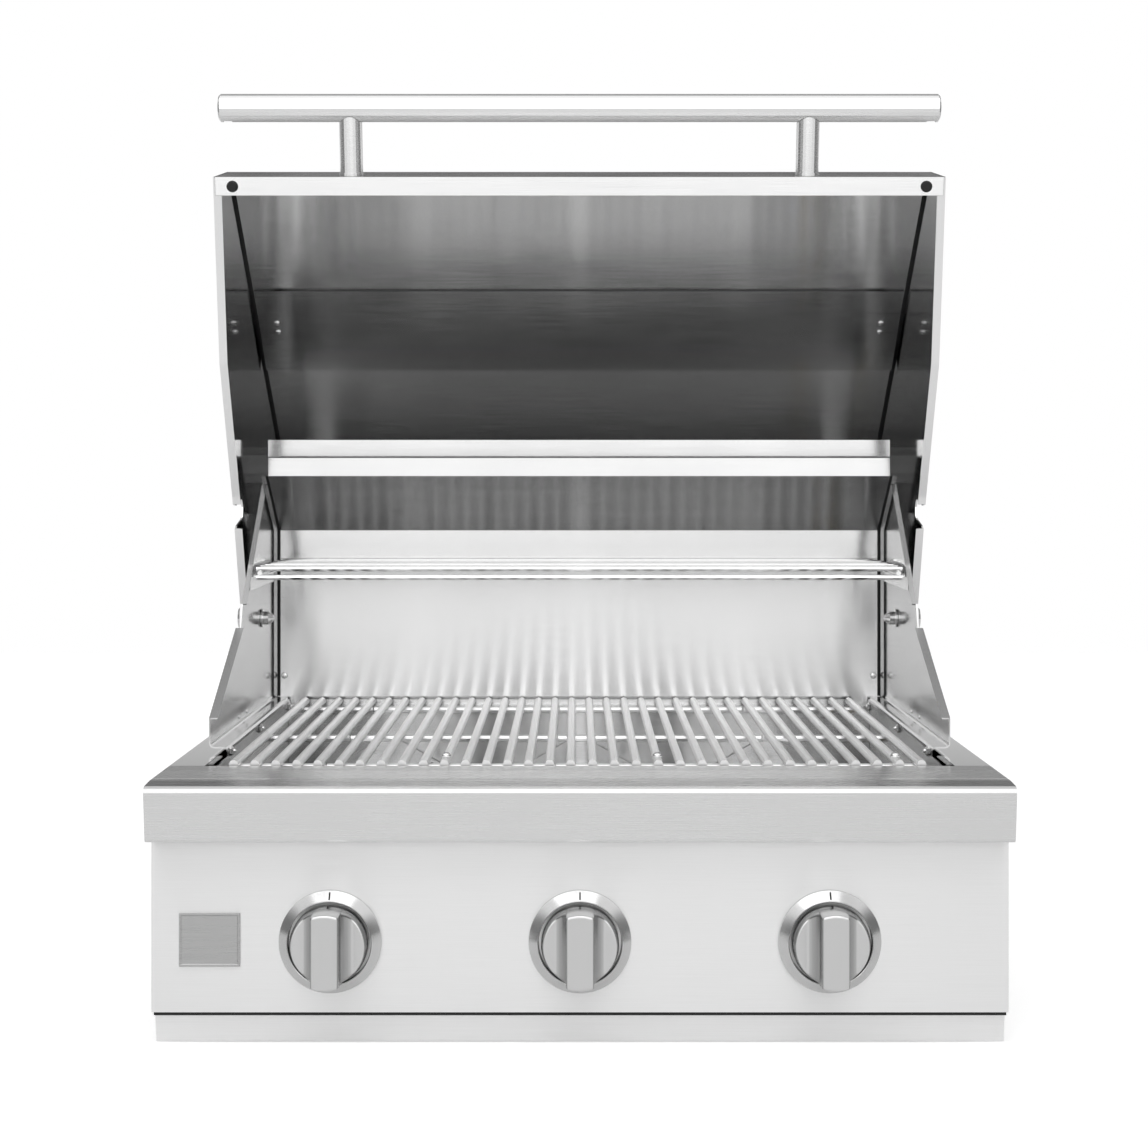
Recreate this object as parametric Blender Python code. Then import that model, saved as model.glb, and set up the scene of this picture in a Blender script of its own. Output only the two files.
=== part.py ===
"""Built-in gas grill with three burners, its hood swung open.

Metres, +Z up, the front faces -Y. The origin is the middle of the base pan's underside.
The hood is drawn shut, in the same coordinates as the body, and a parent at the hinge swings it open.
"""
import math

import bmesh
import bpy
from mathutils import Matrix, Vector

for old in list(bpy.data.objects):
    bpy.data.objects.remove(old, do_unlink=True)

# Sheet metal and fits
body_sheet = 0.0015
liner_sheet = 0.0012
fold_radius = 0.003
fold_steps = 3
seat_gap = 0.0003
overrun = 0.004
corner_grid = 0.000001
round_sides = 24
small_sides = 16
bar_sides = 8

# Body: width, depth and height of the boxed part that drops into the counter
front_width = 0.660
flange_width = 0.027
body_depth = 0.4848
body_height = 0.2054
ledge_front_y = -0.2153
front_half = front_width / 2
body_half = front_half - flange_width
ledge_rear_y = ledge_front_y + body_depth
rear_inner_y = ledge_rear_y - liner_sheet
base_top_z = liner_sheet
foot_width = 0.026

# Control panel and bullnose
bullnose_depth = 0.0757
bullnose_height = 0.0444
bullnose_crease = 0.0507
bullnose_fall = 0.0015
bullnose_lean = 0.006
bullnose_radius = 0.004
panel_forward = 0.0447
panel_foot_gap = 0.004
tray_front_height = 0.022
panel_face_y = ledge_front_y - panel_forward
bullnose_bottom_z = body_height - bullnose_height
panel_bottom_z = tray_front_height + panel_foot_gap
panel_top_z = bullnose_bottom_z - seat_gap
knob_rise_share = 0.408315
knob_z = panel_bottom_z + (panel_top_z - panel_bottom_z) * knob_rise_share

# Firebox
liner_inset = 0.0075
strip_rise = 0.0046
strip_front_gap = 0.1005
firebox_floor_drop = 0.036
lip_depth = 0.0248
rest_drop = 0.0035
rest_width = 0.0145
liner_rear_gap = 0.0115
liner_half = body_half - liner_inset
firebox_floor_z = knob_z - firebox_floor_drop
strip_z = body_height + strip_rise
strip_front_y = ledge_front_y + strip_front_gap
lip_y = ledge_front_y + lip_depth
rest_z = body_height - rest_drop
front_wall_y = lip_y + rest_width
back_wall_y = ledge_rear_y - liner_rear_gap
rear_rest_y = back_wall_y - rest_width

# Back of the cooking chamber
back_wall_rise = 0.1746
baffle_forward = 0.0844
baffle_rise = 0.0562
back_lip_height = 0.0177
back_edge_clearance = 0.005
vent_slot_height = 0.003
vent_slot_inset = 0.0265
rear_panel_bend_rise = 0.018
rear_panel_forward = 0.0538
rear_panel_rise = 0.057
rear_lip_height = 0.0171
back_wall_top_z = body_height + back_wall_rise
rear_panel_bend_z = back_wall_top_z + rear_panel_bend_rise
baffle_front_y = back_wall_y - baffle_forward
baffle_top_z = back_wall_top_z + baffle_rise

# Cheeks that carry the hinge
cheek_offset = 0.0075
cheek_front_rise = 0.0244
cheek_slope_run = 0.1344
cheek_slope_rise = 0.0649
spit_notch_run = 0.0324
spit_notch_rise = 0.0195
spit_notch_depth = 0.012
cheek_arm_run = 0.1227
cheek_arm_rise = 0.1095
cheek_lower_fold = 0.0073
cheek_upper_fold = 0.0048
cheek_half = body_half + cheek_offset
rear_panel_half = cheek_half + liner_sheet

# Hood, drawn shut
hinge_back = 0.3783
hinge_height = 0.0921
open_angle = math.radians(78.5)
hood_inset = 0.003
hood_foot_gap = 0.003
hood_front_gap = 0.0547
hood_face_height = 0.0816
hood_slope_run = 0.330
hood_slope_rise = 0.278
hood_top_run = 0.202
hood_rear_fall = 0.106
hood_rear_lean = 0.010
hood_crease_radius = 0.010
hood_brow_radius = 0.100
hood_crown_radius = 0.070
hood_front_fold = 0.0164
hood_side_fold = 0.0073
hood_rear_fold = 0.012
hood_half = front_half - hood_inset
hinge_y = ledge_front_y + hinge_back
hinge_z = body_height + hinge_height
hood_front_y = ledge_front_y - hood_front_gap
hood_foot_z = body_height + hood_foot_gap
hood_crease_z = hood_foot_z + hood_face_height
hood_top_z = hood_crease_z + hood_slope_rise
hood_brow_y = hood_front_y + hood_slope_run
hood_crown_y = hood_brow_y + hood_top_run
hood_rear_y = hood_crown_y + hood_rear_lean
hood_rear_z = hood_top_z - hood_rear_fall
hood_inner_half = hood_half - body_sheet - seat_gap

# Lower edge of the hood's sides, drawn shut: a flat front, then two shallow rises to the hinge ear
side_flat_run = 0.1682
side_rise_run = 0.1336
side_rise = 0.0429
side_tail_run = 0.1108
side_tail_rise = 0.0237
hinge_ear_radius = 0.030
hinge_ear_degrees = (340, 250)
hinge_ear_steps = 5
spit_slot_width = 0.020
spit_slot_mouth = 0.042
spit_slot_depth = 0.050
spit_slot_back = 0.0210

# Heat shield under the hood's slope
shield_start = 0.158
shield_length = 0.110
shield_near_drop = 0.0034
shield_far_drop = 0.012
shield_side_gap = 0.003

# Handle
handle_radius = 0.0125
handle_length = 0.644
handle_standoff = 0.060
handle_rise = 0.018
handle_chamfer = 0.0015
post_radius = 0.0103
post_spacing = 0.410
post_foot_radius = 0.0112
post_foot_height = 0.003
drain_length = 0.0085
drain_width = 0.010
drain_inset = 0.003
drain_depth = 0.002

# Bumpers under the hood's front fold
bumper_radius = 0.0051
bumper_inset = 0.0171
bumper_back = 0.0084
bumper_stem_radius = 0.002

# Hinge bolts
bolt_radius = 0.004
bolt_shoulder_radius = 0.0065
bolt_head_radius = 0.0125
bolt_head_height = 0.005
bolt_end = 0.009
nut_flats = 0.0065
nut_height = 0.0112
nut_bore_depth = 0.0102
washer_radius = 0.009
washer_thickness = 0.0016

# Knobs and valves, drawn along an axis that comes out of the panel
burner_count = 3
burner_edge_gap = 0.0075
knob_spacing = 2 * (liner_half - burner_edge_gap) / burner_count
bezel_radius = 0.0395
bezel_inner_radius = 0.0318
bezel_lip_radius = 0.0322
bezel_edge = 0.003
bezel_height = 0.0115
knob_radius = 0.0300
knob_nose_radius = 0.0285
knob_base = 0.005
knob_height = 0.042
knob_edge = 0.003
knob_floor = 0.020
grip_half = 0.0105
grip_fillet = 0.008
knob_bore_depth = 0.016
stem_radius = 0.004
stem_hole_radius = 0.0062
stem_inner_end = 0.0395
knob_travel = 0.004
plug_radius = 0.0072
plug_front = 0.026
plug_back = 0.0565
plug_bore_floor = 0.0455
valve_radius = 0.0135
valve_front = 0.0245
valve_back = 0.0600
spud_radius = 0.0045
spud_end = 0.079
valve_leg_radius = 0.0065
turning_gap = 0.0004

# Gas line
manifold_radius = 0.0095
manifold_drop = 0.0305
manifold_setback = 0.042
manifold_overhang = 0.033
manifold_end_gap = 0.0295
supply_radius = 0.0065
supply_side_gap = 0.018
supply_z = 0.030
supply_fitting_radius = 0.011
supply_fitting_length = 0.016
supply_tail = 0.034
supply_drop_run = 0.035
supply_bend = 0.012
manifold_left = knob_spacing + manifold_overhang
supply_x = body_half - supply_side_gap
manifold_right = supply_x - manifold_end_gap

# Burners and the plates above them
burner_radius = 0.011
burner_leg_spacing = 0.072
burner_mouth_radius = 0.0085
burner_mouth_depth = 0.024
burner_mouth_reach = 0.0105
burner_end_inset = 0.030
burner_path_steps = 10
tamer_side_gap = 0.016
tamer_ridge_half = 0.012
tamer_eave_rise = 0.0475
tamer_height = 0.038
tamer_end_gap = 0.004
tamer_slot_count = 5
tamer_slot_length = 0.040
tamer_slot_width = 0.005
rail_width = 0.013
rail_height = 0.016
tamer_half = knob_spacing / 2 - tamer_side_gap
tamer_eave_z = knob_z + tamer_eave_rise

# Cooking grates
grate_bar_counts = (5, 11, 10, 7)
rod_overhang_shares = ((0, 0), (1, 0), (1, 1), (0, 0))
grate_left_gap = 0.0165
grate_right_gap = 0.0200
grate_bars = sum(grate_bar_counts)
left_bar_steps = 16
right_bar_steps = grate_bars - 1 - left_bar_steps
middle_bar_shift = 0.0073
bar_radius = 0.0038
rod_end_gap = 0.0012
bar_end_gap = 0.0035
cross_radius = 0.003
cross_overlap = 0.0014
cross_front_inset = 0.022
cross_middle_share = 0.448
cross_rear_inset = 0.031
left_bar_pitch = (liner_half - grate_left_gap - middle_bar_shift) / left_bar_steps
right_bar_pitch = (liner_half - grate_right_gap + middle_bar_shift) / right_bar_steps
rod_overhang = left_bar_pitch - 2 * bar_radius - rod_end_gap

# Warming rack
rack_end_gap = 0.0085
rack_half = cheek_half - rack_end_gap
rack_rear_gap = 0.020
rack_depth = 0.160
rack_rise = 0.1399
rack_rod_radius = 0.0024
rack_side_inset = 0.0035
rack_rod_count = 7
rack_sink = 0.0008
rack_rest_width = 0.012
rack_rest_height = 0.014
rack_rest_inset = 0.008

# Drip tray
tray_height = 0.0185
tray_front_setback = 0.0075
tray_front_lean = 0.0045
tray_front_inset = 0.0015
tray_rear_gap = 0.030
tray_floor_gap = 0.0003
tray_front_foot = 0.0006
tray_guide_gap = 0.001
tray_half = body_half - foot_width - tray_guide_gap
tray_front_half = front_half - tray_front_inset

# Rear panel vents
vent_count = 9
vent_pitch = 0.055
vent_width = 0.030
vent_height = 0.008
vent_z = 0.150


def make_material(name, colour, metallic, roughness):
    made = bpy.data.materials.new(name)
    made.use_nodes = True
    shader = made.node_tree.nodes["Principled BSDF"]
    shader.inputs["Base Color"].default_value = (*colour, 1)
    shader.inputs["Metallic"].default_value = metallic
    shader.inputs["Roughness"].default_value = roughness
    return made


brushed_steel = make_material("brushed_steel", (0.72, 0.72, 0.72), 1.0, 0.32)
polished_steel = make_material("polished_steel", (0.82, 0.82, 0.82), 1.0, 0.14)
liner_steel = make_material("liner_steel", (0.60, 0.60, 0.60), 1.0, 0.38)
rod_steel = make_material("rod_steel", (0.78, 0.78, 0.78), 1.0, 0.22)
knob_metal = make_material("knob_metal", (0.66, 0.66, 0.66), 1.0, 0.28)
brass = make_material("brass", (0.72, 0.55, 0.24), 1.0, 0.30)
black_rubber = make_material("black_rubber", (0.03, 0.03, 0.03), 0.0, 0.80)


def place(name, mesh, finish):
    mesh.materials.clear()
    mesh.materials.append(finish)
    thing = bpy.data.objects.new(name, mesh)
    bpy.context.scene.collection.objects.link(thing)
    return thing


def snap_corners(shape):
    """Rounds corners to one fine grid, so that faces drawn to the same place lie exactly in one plane."""
    for corner in shape.verts:
        corner.co = [round(value / corner_grid) * corner_grid for value in corner.co]


def close_mesh(name, shape, finish):
    """Turn a closed bmesh into a named object with its faces pointing out."""
    bmesh.ops.recalc_face_normals(shape, faces=shape.faces)
    mesh = bpy.data.meshes.new(name)
    shape.to_mesh(mesh)
    shape.free()
    return place(name, mesh, finish)


def smooth(thing, limit=math.radians(40)):
    thing.data.shade_smooth()
    thing.data.set_sharp_from_angle(angle=limit)
    return thing


def spot(along, a, b, depth):
    """A point of a profile: X profiles lie in Y and Z, Y profiles in X and Z, Z profiles in X and Y."""
    return {"X": (depth, a, b), "Y": (a, depth, b), "Z": (a, b, depth)}[along]


def prism(name, outline, low, high, finish, along="X"):
    """A closed outline drawn out from low to high."""
    shape = bmesh.new()
    ring = [shape.verts.new(spot(along, point[0], point[1], low)) for point in outline]
    cap = shape.faces.new(ring)
    grown = bmesh.ops.extrude_face_region(shape, geom=[cap])["geom"]
    moved = [part for part in grown if isinstance(part, bmesh.types.BMVert)]
    bmesh.ops.translate(shape, verts=moved, vec=spot(along, 0, 0, high - low))
    snap_corners(shape)
    return close_mesh(name, shape, finish)


def filleted(corners, radius=fold_radius, steps=fold_steps):
    """An open path with an arc at each inner corner; a corner may carry its own radius."""
    points = [Vector(corners[0][:2])]
    for before, corner, after in zip(corners, corners[1:], corners[2:]):
        here = Vector(corner[:2])
        back = Vector(before[:2]) - here
        ahead = Vector(after[:2]) - here
        half_turn = back.angle(ahead) / 2
        bend = corner[2] if len(corner) > 2 else radius
        reach = min(bend / math.tan(half_turn), back.length / 2, ahead.length / 2)
        bend = reach * math.tan(half_turn)
        back.normalize()
        ahead.normalize()
        centre = here + (back + ahead).normalized() * bend / math.sin(half_turn)
        start = here + back * reach - centre
        sweep = start.angle_signed(here + ahead * reach - centre)
        for step in range(steps + 1):
            turn = Matrix.Rotation(-sweep * step / steps, 2)
            points.append(centre + turn @ start)
    points.append(Vector(corners[-1][:2]))
    return points


def beside(path, distance):
    """The path moved to its own left by a distance, with mitred corners."""
    steps = [(after - before).normalized() for before, after in zip(path, path[1:])]
    moved = []
    for arriving, point, leaving in zip([steps[0]] + steps, path, steps + [steps[-1]]):
        left = Vector((-arriving.y, arriving.x))
        mitre = (left + Vector((-leaving.y, leaving.x))).normalized()
        moved.append(point + mitre * distance / mitre.dot(left))
    return moved


def sheet(name, path, low, high, thickness, finish, along="X"):
    """Folded sheet metal: the path is one face, the sheet lies to its left."""
    points = [Vector(point[:2]) for point in path]
    return prism(name, points + beside(points, thickness)[::-1], low, high, finish, along)


def block(name, low, high, finish):
    outline = [(low[1], low[2]), (high[1], low[2]), (high[1], high[2]), (low[1], high[2])]
    return prism(name, outline, low[0], high[0], finish)


def rod(name, start, end, radius, finish, sides=small_sides):
    start = Vector(start)
    reach = Vector(end) - start
    shape = bmesh.new()
    bmesh.ops.create_cone(shape, cap_ends=True, segments=sides, radius1=radius, radius2=radius,
                          depth=reach.length)
    turn = reach.to_track_quat("Z", "Y").to_matrix().to_4x4()
    bmesh.ops.transform(shape, matrix=Matrix.Translation(start + reach / 2) @ turn, verts=shape.verts)
    return smooth(close_mesh(name, shape, finish))


def turned(name, profile, finish, sides=round_sides):
    """A profile of (radius, height) points spun once round Z."""
    shape = bmesh.new()
    points = [shape.verts.new((radius, 0, height)) for radius, height in profile]
    edges = [shape.edges.new(pair) for pair in zip(points, points[1:])]
    if profile[0][0] > 0:
        edges.append(shape.edges.new((points[-1], points[0])))
    bmesh.ops.spin(shape, geom=points + edges, axis=(0, 0, 1), cent=(0, 0, 0), angle=math.tau, steps=sides,
                   use_merge=True)
    bmesh.ops.remove_doubles(shape, verts=shape.verts, dist=overrun / round_sides ** 3)
    return smooth(close_mesh(name, shape, finish))


def tube(name, points, radius, finish, sides=bar_sides):
    """A round tube along a path, with closed ends."""
    line = bpy.data.curves.new(name, "CURVE")
    line.dimensions = "3D"
    line.bevel_depth = radius
    line.bevel_resolution = sides // 2 - 2
    line.use_fill_caps = True
    spline = line.splines.new("POLY")
    spline.points.add(len(points) - 1)
    for knot, point in zip(spline.points, points):
        knot.co = (*point, 1)
    guide = bpy.data.objects.new(name, line)
    shape = bmesh.new()
    swept = bpy.data.meshes.new_from_object(guide)
    shape.from_mesh(swept)
    bpy.data.objects.remove(guide)
    bpy.data.meshes.remove(swept)
    bpy.data.curves.remove(line)
    bmesh.ops.remove_doubles(shape, verts=shape.verts, dist=radius / round_sides ** 2)
    return smooth(close_mesh(name, shape, finish))


def boolean(target, other, operation):
    other.hide_render = True
    other.display_type = "WIRE"
    change = target.modifiers.new(operation.lower(), "BOOLEAN")
    change.operation = operation
    change.solver = "EXACT"
    change.object = other
    return target


def cut(target, *cutters):
    for cutter in cutters:
        boolean(target, cutter, "DIFFERENCE")
    return target


def join(target, *others):
    for other in others:
        boolean(target, other, "UNION")
    return target


def merged(name, things, finish):
    """Several shapes that don't touch each other, in one mesh for one Boolean."""
    shape = bmesh.new()
    for thing in things:
        thing.data.transform(thing.matrix_basis)
        shape.from_mesh(thing.data)
        bpy.data.objects.remove(thing)
    return smooth(close_mesh(name, shape, finish))


def pan(name, outline, low, high, thickness, open_sides, finish):
    """A shell drawn along X with both ends closed and the listed sides left open."""
    shape = bmesh.new()
    ring = [shape.verts.new(spot("X", point[0], point[1], low)) for point in outline]
    cap = shape.faces.new(ring)
    grown = bmesh.ops.extrude_face_region(shape, geom=[cap])["geom"]
    moved = [part for part in grown if isinstance(part, bmesh.types.BMVert)]
    bmesh.ops.translate(shape, verts=moved, vec=(high - low, 0, 0))
    snap_corners(shape)
    bmesh.ops.recalc_face_normals(shape, faces=shape.faces)
    opened = []
    for side in open_sides:
        a, b = Vector(outline[side]), Vector(outline[(side + 1) % len(outline)])
        middle = Vector(spot("X", *((a + b) / 2), (low + high) / 2))
        opened.append(min(shape.faces, key=lambda face: (face.calc_center_median() - middle).length))
    bmesh.ops.delete(shape, geom=opened, context="FACES")
    mesh = bpy.data.meshes.new(name)
    shape.to_mesh(mesh)
    shape.free()
    thing = place(name, mesh, finish)
    wall = thing.modifiers.new("wall", "SOLIDIFY")
    wall.thickness = thickness
    wall.offset = -1
    wall.use_even_offset = True
    return thing


def folded_plate(name, outline, plane_x, fold_runs, thickness, finish):
    """A flat plate with its outer face on an X plane; each run of its edges is folded over along X.

    The outline goes clockwise seen from +X. A fold run is (first corner, last corner, width), and a
    positive width folds towards the middle.
    """
    outward = math.copysign(1, plane_x)
    inner = plane_x - outward * thickness
    plate = prism(name, outline, min(plane_x, inner), max(plane_x, inner), finish)
    for first, last, width in fold_runs:
        edge = plane_x - outward * width
        run = (outline + outline[:1])[first:last + 1]
        start = plane_x if width > 0 else inner
        join(plate, sheet("fold", run, min(start, edge), max(start, edge), -thickness, finish))
    return plate


def arc(centre, radius, start_degrees, end_degrees, steps):
    """Points round part of a circle, from one angle to the other."""
    turns = [math.radians(start_degrees + (end_degrees - start_degrees) * step / steps)
             for step in range(steps + 1)]
    return [(centre[0] + radius * math.cos(turn), centre[1] + radius * math.sin(turn)) for turn in turns]


def hang(thing, parent, pivot=(0, 0, 0)):
    """Give a piece and its cutters their parent; the parent's place becomes the origin of their meshes."""
    thing.data.transform(Matrix.Translation(-Vector(pivot)))
    thing.parent = parent
    for change in thing.modifiers:
        hang(change.object, parent, pivot)
    return thing


def empty(name, location, turn=(0, 0, 0)):
    mark = bpy.data.objects.new(name, None)
    mark.location = location
    mark.rotation_euler = turn
    bpy.context.scene.collection.objects.link(mark)
    return mark


def knob_places():
    """Number and X of each knob, which its valve, burner and plate share."""
    return [(number + 1, (number - (burner_count - 1) / 2) * knob_spacing) for number in range(burner_count)]


def make_base():
    low = (-body_half, ledge_front_y + seat_gap, 0)
    high = (body_half, rear_inner_y - seat_gap, base_top_z)
    block("base_pan", low, high, liner_steel)


def make_side_panel(side, name):
    """Outer side wall: the counter flange is folded out of its top, a foot out of its bottom."""
    tab_front = panel_face_y + body_sheet + seat_gap
    tab_low = panel_bottom_z + body_sheet + seat_gap
    tab_high = panel_top_z - body_sheet - seat_gap
    front = ledge_front_y + seat_gap
    flange_front = lip_y + seat_gap
    under_lip = body_height - liner_sheet - seat_gap
    back = rear_inner_y - seat_gap
    foot_z = base_top_z + seat_gap
    outline = [(flange_front, body_height), (back, body_height), (back, foot_z), (front, foot_z),
               (front, tab_low), (tab_front, tab_low), (tab_front, tab_high), (front, tab_high),
               (front, under_lip), (flange_front, under_lip)]
    runs = [(0, 1, -flange_width), (2, 3, foot_width)]
    folded_plate(name, outline, side * body_half, runs, body_sheet, brushed_steel)


def make_rear_panel():
    bend_y = ledge_rear_y - rear_panel_forward
    lip_z = rear_panel_bend_z + rear_panel_rise
    path = filleted([(ledge_rear_y, base_top_z + seat_gap), (ledge_rear_y, rear_panel_bend_z),
                     (bend_y, lip_z), (bend_y, lip_z + rear_lip_height)])
    panel = sheet("rear_panel", path, -rear_panel_half, rear_panel_half, liner_sheet, brushed_steel)
    vents = []
    for number in range(vent_count):
        middle = (number - (vent_count - 1) / 2) * vent_pitch
        low = (middle - vent_width / 2, rear_inner_y - overrun, vent_z)
        high = (middle + vent_width / 2, ledge_rear_y + overrun, vent_z + vent_height)
        vents.append(block("vent", low, high, liner_steel))
    vents.append(rod("pipe_hole", (supply_x, rear_inner_y - overrun, supply_z),
                     (supply_x, ledge_rear_y + overrun, supply_z), supply_radius + seat_gap, liner_steel))
    cut(panel, merged("rear_panel_holes", vents, liner_steel))


def make_front_bulkhead():
    """Firebox front: a full-width lip behind the bullnose, a rest for the grates, then the wall."""
    path = [(front_wall_y, firebox_floor_z), (front_wall_y, rest_z), (lip_y, rest_z), (lip_y, body_height),
            (ledge_front_y + seat_gap, body_height)]
    wall = sheet("front_bulkhead", path, -front_half, front_half, liner_sheet, liner_steel)
    holes = []
    for side in (-1, 1):
        inner, outer = side * (liner_half - seat_gap), side * (front_half + overrun)
        low = (min(inner, outer), ledge_front_y - overrun, firebox_floor_z - overrun)
        high = (max(inner, outer), front_wall_y + overrun, body_height - liner_sheet)
        holes.append(block("bulkhead_trim", low, high, liner_steel))
    for number, middle in knob_places():
        holes.append(rod("burner_hole", (middle, front_wall_y - overrun, knob_z),
                         (middle, front_wall_y + overrun, knob_z), burner_radius + seat_gap, liner_steel))
    cut(wall, merged("bulkhead_holes", holes, liner_steel))


def cheek_points():
    """Corners of a cheek, from its front foot up the lower slope, past the spit notch and up the arm."""
    foot_z = strip_z + fold_radius
    nose = (strip_front_y, strip_z + cheek_front_rise)
    shoulder = (nose[0] + cheek_slope_run, nose[1] + cheek_slope_rise)
    arm_foot = (shoulder[0] + spit_notch_run, shoulder[1] + spit_notch_rise)
    arm_top = (arm_foot[0] + cheek_arm_run, arm_foot[1] + cheek_arm_rise)
    dip = (shoulder[0] + (spit_notch_run + spit_notch_depth) / 2,
           (shoulder[1] + arm_foot[1]) / 2 - spit_notch_depth)
    return foot_z, nose, shoulder, dip, arm_foot, arm_top


def make_firebox_side(side, name):
    """One sheet: the cheek that carries the hinge, the strip beside the grates and the firebox wall below."""
    foot_z, nose, shoulder, dip, arm_foot, arm_top = cheek_points()
    back = rear_inner_y - seat_gap
    outline = [(strip_front_y, foot_z), nose, shoulder, dip, arm_foot, arm_top,
               (back, arm_top[1] - baffle_rise), (back, foot_z)]
    runs = [(1, 2, cheek_lower_fold), (4, 5, cheek_upper_fold)]
    plane = cheek_half + liner_sheet
    cheek = folded_plate(name, outline, side * plane, runs, liner_sheet, liner_steel)
    under = strip_z - liner_sheet
    wall_x = liner_half + liner_sheet
    corners = [(plane, nose[1]), (plane, under, fold_radius + liner_sheet), (wall_x, under, fold_radius),
               (wall_x, firebox_floor_z)]
    path = [(side * x, z) for x, z in filleted(corners)]
    low, high = lip_y + seat_gap, back_wall_y - seat_gap
    join(cheek, sheet("firebox_wall", path, low, high, -side * liner_sheet, liner_steel, along="Y"))
    notch = block("strip_notch", (-front_half, low - overrun, rest_z),
                  (front_half, strip_front_y, nose[1] + overrun), liner_steel)
    hole = rod("cheek_hole", (side * plane - overrun, hinge_y, hinge_z),
               (side * plane + overrun, hinge_y, hinge_z), bolt_radius + seat_gap, liner_steel)
    cut(cheek, merged("side_cuts", [notch, hole], liner_steel))


def make_back_liner():
    """Back of the chamber: rear grate rest, bright wall, forward baffle and its upright lip, in one sheet."""
    path = [(baffle_front_y, baffle_top_z + back_lip_height), (baffle_front_y, baffle_top_z),
            (back_wall_y, back_wall_top_z), (back_wall_y, rest_z), (rear_rest_y, rest_z),
            (rear_rest_y, firebox_floor_z)]
    half = cheek_half - back_edge_clearance
    liner = sheet("back_liner", path, -half, half, liner_sheet, liner_steel)
    slot_half = half - vent_slot_inset
    slot = block("vent_slot", (-slot_half, back_wall_y - overrun, strip_z - vent_slot_height),
                 (slot_half, back_wall_y + overrun, strip_z), liner_steel)
    trims = []
    for side in (-1, 1):
        inner, outer = side * (liner_half - seat_gap), side * (half + overrun)
        low = (min(inner, outer), rear_rest_y - overrun, firebox_floor_z - overrun)
        high = (max(inner, outer), back_wall_y + overrun, strip_z)
        trims.append(block("liner_trim", low, high, liner_steel))
    cut(liner, slot, merged("liner_trims", trims, liner_steel))


def make_bullnose():
    """Rounded front rail over the control panel, open at its back."""
    front_y = ledge_front_y - bullnose_depth
    edge = filleted([(ledge_front_y, body_height), (ledge_front_y - bullnose_crease, body_height),
                     (front_y, body_height - bullnose_fall, bullnose_radius),
                     (front_y + bullnose_lean, bullnose_bottom_z), (ledge_front_y, bullnose_bottom_z)],
                    steps=2)
    pan("bullnose", edge, -front_half, front_half, body_sheet, [len(edge) - 1], polished_steel)


def make_control_panel():
    back = ledge_front_y - seat_gap
    outline = [(panel_face_y, panel_bottom_z), (panel_face_y, panel_top_z), (back, panel_top_z),
               (back, panel_bottom_z)]
    panel = pan("control_panel", outline, -front_half, front_half, body_sheet, [2], brushed_steel)
    holes = []
    for number, middle in knob_places():
        start = (middle, panel_face_y - overrun, knob_z)
        end = (middle, panel_face_y + overrun, knob_z)
        holes.append(rod("stem_hole", start, end, stem_hole_radius, liner_steel))
    cut(panel, merged("stem_holes", holes, liner_steel))


def make_knob(number, axis):
    bezel = [(bezel_inner_radius, seat_gap), (bezel_radius, seat_gap), (bezel_radius, bezel_edge),
             (bezel_lip_radius, bezel_height), (bezel_inner_radius, bezel_height)]
    hang(turned(f"knob_bezel_{number}", bezel, polished_steel), axis)
    profile = [(0, knob_base), (knob_radius, knob_base), (knob_radius, bezel_height + knob_edge),
               (knob_nose_radius, knob_height - knob_edge), (knob_nose_radius - knob_edge, knob_height),
               (0, knob_height)]
    knob = turned(f"knob_{number}", profile, knob_metal)
    flutes = []
    for side in (-1, 1):
        outline = filleted([(side * grip_half, knob_height + overrun),
                            (side * grip_half, knob_floor, grip_fillet),
                            (side * (knob_radius + overrun), knob_floor)])
        outline.append(Vector((side * (knob_radius + overrun), knob_height + overrun)))
        flute = prism("flute", outline, -knob_radius - overrun, knob_radius + overrun, knob_metal, along="Y")
        flutes.append(flute)
    bore = rod("knob_bore", (0, 0, knob_base - overrun), (0, 0, knob_base + knob_bore_depth),
               stem_radius + seat_gap, knob_metal)
    hang(cut(knob, merged("flutes", flutes, knob_metal), bore), axis)
    hang(rod(f"valve_stem_{number}", (0, 0, -stem_inner_end), (0, 0, knob_base + knob_bore_depth - seat_gap),
             stem_radius, brass), axis)


def make_valve(number, axis):
    plug = rod(f"valve_plug_{number}", (0, 0, -plug_back), (0, 0, -plug_front), plug_radius, brass)
    bore = rod("plug_bore", (0, 0, -plug_bore_floor), (0, 0, overrun - plug_front), stem_radius + seat_gap,
               brass)
    hang(cut(plug, bore), axis)
    body = rod(f"valve_body_{number}", (0, 0, -valve_back), (0, 0, -valve_front), valve_radius, brass)
    spud = rod("spud", (0, 0, -spud_end), (0, 0, overrun - valve_back), spud_radius, brass)
    leg_top = valve_radius / 2 - valve_radius
    leg = rod("valve_leg", (0, -manifold_drop + manifold_radius / 2, -manifold_setback),
              (0, leg_top, -manifold_setback), valve_leg_radius, brass)
    chamber = rod("valve_chamber", (0, 0, -plug_back - turning_gap), (0, 0, overrun - valve_front),
                  plug_radius + turning_gap, brass)
    saddle = rod("valve_saddle", (-front_half, -manifold_drop, -manifold_setback),
                 (front_half, -manifold_drop, -manifold_setback), manifold_radius + seat_gap, brass)
    join(body, spud, leg)
    hang(cut(body, chamber, saddle), axis)


def rounded_path(corners, bend, steps=5):
    """Straight stretches between corners, each corner drawn as a curve."""
    points = [corners[0]]
    for before, corner, after in zip(corners, corners[1:], corners[2:]):
        back = (before - corner).normalized() * bend
        ahead = (after - corner).normalized() * bend
        for step in range(steps + 1):
            share = step / steps
            points.append(corner + back * (1 - share) ** 2 + ahead * share ** 2)
    return points + [corners[-1]]


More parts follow.
